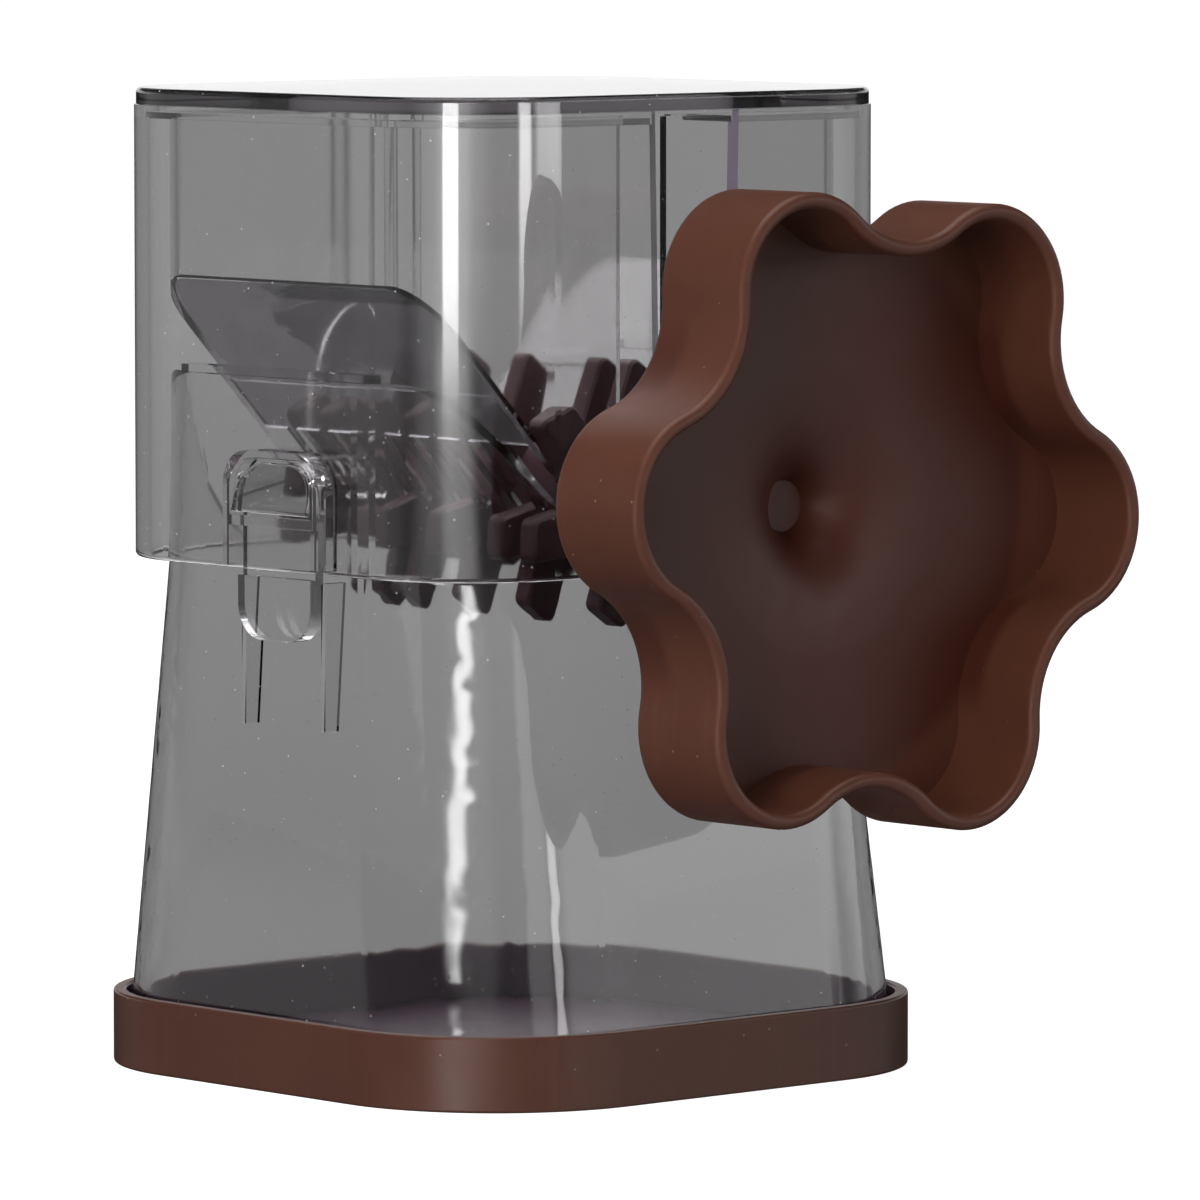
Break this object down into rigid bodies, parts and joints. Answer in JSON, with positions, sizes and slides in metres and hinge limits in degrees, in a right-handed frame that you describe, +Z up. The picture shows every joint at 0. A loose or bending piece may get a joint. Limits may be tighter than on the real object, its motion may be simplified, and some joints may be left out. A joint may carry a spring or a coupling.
{
  "type": "nut chopper",
  "caption": "Hand-cranked nut chopper: clear hopper with lift-off lid over a clear catch container in a rounded tray, lobed knob on a toothed shaft.",
  "frame": {"origin": "centre of the tray's underside, where the object stands", "axes": "+Z up; +X along the crank shaft, from the hopper out to the knob; -Y the side with the latch that faces the viewer"},
  "size_m": [0.1164, 0.088, 0.127],
  "materials": {
    "smoke_clear": "clear smoke grey, glossy",
    "guide_clear": "clear smoke grey, glossy",
    "brown_plastic": "fine grained satin",
    "rotor_plastic": "satin",
    "bush_plastic": "satin",
    "steel": "turned",
    "pad_rubber": "matt, fine ribs"
  },
  "bodies": {
    "tray": {"base_tray": "brown_plastic", "nonslip_pad": "pad_rubber"},
    "container": {"container": "smoke_clear"},
    "hopper": {"hopper_shell": "smoke_clear", "chute": "guide_clear", "coarse_comb": "guide_clear", "fine_comb": "guide_clear", "front_bush": "bush_plastic", "rear_bush": "bush_plastic"},
    "lid": {"hopper_lid": "smoke_clear"},
    "crank": {"rotor_shaft": "steel", "thrust_washer": "bush_plastic", "knob": "brown_plastic", "knob_screw": "steel", "hub_plug": "brown_plastic", "tooth_disc_1": "rotor_plastic", "tooth_disc_2": "rotor_plastic", "tooth_disc_3": "rotor_plastic", "tooth_disc_4": "rotor_plastic", "tooth_disc_5": "rotor_plastic", "tooth_disc_6": "rotor_plastic", "tooth_disc_7": "rotor_plastic", "tooth_disc_8": "rotor_plastic"},
    "latch_front": {"latch_front": "smoke_clear"},
    "latch_back": {"latch_back": "smoke_clear"}
  },
  "joints": [
    {"name": "container_lift", "type": "slide", "parent": "tray", "child": "container", "axis": [0, 0, 1], "range_m": [0, 0.025]},
    {"name": "hopper_lift", "type": "slide", "parent": "container", "child": "hopper", "axis": [0, 0, 1], "range_m": [0, 0.04]},
    {"name": "lid_lift", "type": "slide", "parent": "hopper", "child": "lid", "axis": [0, 0, 1], "range_m": [0, 0.04]},
    {"name": "crank_spin", "type": "hinge", "parent": "hopper", "child": "crank", "pos_m": [0, 0, 0.0754], "axis": [1, 0, 0], "continuous": true},
    {"name": "latch_front_flex", "type": "hinge", "parent": "hopper", "child": "latch_front", "pos_m": [0.0033, -0.0413, 0.0782], "axis": [-1, 0, 0], "range_deg": [0, 2.5], "stiffness_Nm_per_rad": 0.02},
    {"name": "latch_back_flex", "type": "hinge", "parent": "hopper", "child": "latch_back", "pos_m": [0.0033, 0.0413, 0.0782], "axis": [1, 0, 0], "range_deg": [0, 2.5], "stiffness_Nm_per_rad": 0.02}
  ]
}
